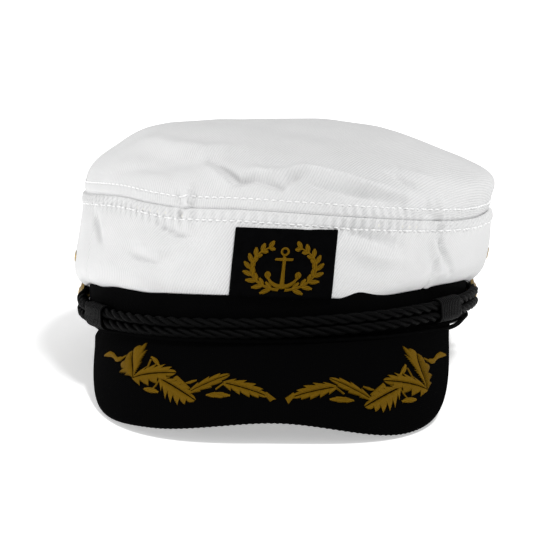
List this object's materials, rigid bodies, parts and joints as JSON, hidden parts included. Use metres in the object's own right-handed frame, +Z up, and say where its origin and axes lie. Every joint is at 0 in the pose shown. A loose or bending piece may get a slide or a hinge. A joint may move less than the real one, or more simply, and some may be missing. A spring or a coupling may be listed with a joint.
{
  "type": "peaked cap",
  "caption": "White cloth peaked cap with a padded crown, black band, curved black visor with gold oak sprays, badge, doubled chin cord with wound slides and brass side buttons.",
  "frame": {"origin": "on the table, under the middle of the cap's box as the cap lies on its visor and the back of its band", "axes": "+Z up from the table, -Y the way the visor points, +X the wearer's left"},
  "size_m": [0.189, 0.2656, 0.1066],
  "materials": {
    "white_twill": "white cotton twill, matt",
    "lining_cloth": "plain woven lining, matt",
    "foam": "stiffening foam, matt",
    "stiffener_board": "moulded board, matt",
    "band_cloth": "black cotton twill, matt",
    "visor_cloth": "black cotton twill over board, matt",
    "sweatband_cloth": "black sweatband cloth, matt",
    "badge_felt": "black felt",
    "gold_thread": "old gold satin stitched thread",
    "black_cord": "twisted rayon cord, soft sheen",
    "black_thread": "wound thread, soft sheen",
    "antique_brass": "antique brass, darkened in its hollows"
  },
  "bodies": {
    "cap": {"sweatband": "sweatband_cloth", "band_stiffener": "stiffener_board", "head_band": "band_cloth", "band_welt": "band_cloth", "crown_top_panel": "white_twill", "crown_front_panel": "white_twill", "crown_left_panel": "white_twill", "crown_right_panel": "white_twill", "crown_lining": "lining_cloth", "crown_seam_tape": "lining_cloth", "front_stiffener": "foam", "vent_eyelets_left": "antique_brass", "vent_eyelets_right": "antique_brass", "vent_washers_left": "antique_brass", "vent_washers_right": "antique_brass", "visor_board": "stiffener_board", "visor_top_cover": "visor_cloth", "visor_under_cover": "visor_cloth", "visor_embroidery_left": "gold_thread", "visor_embroidery_right": "gold_thread", "badge_patch": "badge_felt", "badge_anchor": "gold_thread", "badge_wreath_left": "gold_thread", "badge_wreath_right": "gold_thread"},
    "chin_cord": {"chin_cord_upper_run": "black_cord", "chin_cord_lower_run": "black_cord", "chin_cord_loop_left": "black_cord", "chin_cord_loop_right": "black_cord"},
    "cord_slide_left": {"cord_slide_left": "black_thread"},
    "cord_slide_right": {"cord_slide_right": "black_thread"},
    "button_left": {"button_left_plate": "antique_brass", "button_left_dome": "antique_brass", "button_left_retainer": "antique_brass"},
    "button_right": {"button_right_plate": "antique_brass", "button_right_dome": "antique_brass", "button_right_retainer": "antique_brass"}
  },
  "joints": [
    {"name": "chin_cord_swing", "type": "hinge", "parent": "cap", "child": "chin_cord", "pos_m": [0, 0.01485, 0.02721], "axis": [-1, 0, 0], "range_deg": [0, 3]},
    {"name": "cord_slide_left_travel", "type": "hinge", "parent": "chin_cord", "child": "cord_slide_left", "pos_m": [0.0354, 0.01485, 0.02721], "axis": [0, 0.1243, 0.9922], "range_deg": [-13, 11.5]},
    {"name": "cord_slide_right_travel", "type": "hinge", "parent": "chin_cord", "child": "cord_slide_right", "pos_m": [-0.0354, 0.01485, 0.02721], "axis": [0, 0.1243, 0.9922], "range_deg": [-6, 18.5]},
    {"name": "button_left_spin", "type": "hinge", "parent": "cap", "child": "button_left", "pos_m": [-0.087, 0.01485, 0.02721], "axis": [-1, 0, 0], "continuous": true},
    {"name": "button_right_spin", "type": "hinge", "parent": "cap", "child": "button_right", "pos_m": [0.087, 0.01485, 0.02721], "axis": [1, 0, 0], "continuous": true}
  ]
}
